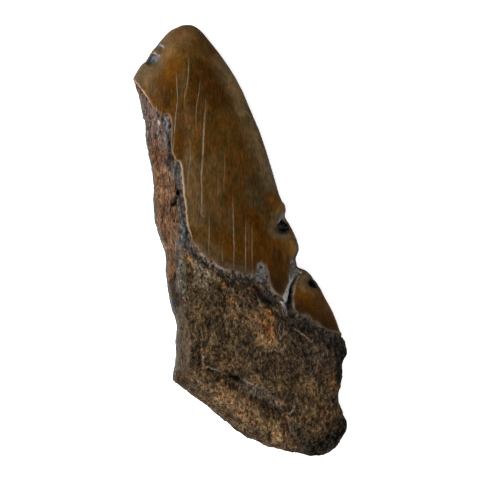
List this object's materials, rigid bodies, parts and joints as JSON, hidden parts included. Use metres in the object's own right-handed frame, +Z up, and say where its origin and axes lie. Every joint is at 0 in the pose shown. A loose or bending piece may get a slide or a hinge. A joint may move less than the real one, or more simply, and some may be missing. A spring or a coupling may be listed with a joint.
{
  "type": "fossil megalodon tooth",
  "caption": "Partial fossil shark tooth, split lengthwise: glossy brown enamel blade with a side cusplet, rough dark root lobe and bare broken side, lying on its flat outer face.",
  "frame": {"origin": "on the resting plane, under the middle of the bounding box", "axes": "+Y towards the tip, +X towards the cutting edge and cusplet, +Z up out of the convex inner (lingual) face; the tooth lies on its flatter outer (labial) face"},
  "size_m": [0.0536, 0.108, 0.0238],
  "materials": {
    "fossil_tooth": "Glossy olive-brown to amber fossil enamel on the blade, matt porous dark brown root, reddish-brown fibrous break"
  },
  "bodies": {
    "root": {"tooth": "fossil_tooth"}
  },
  "joints": []
}
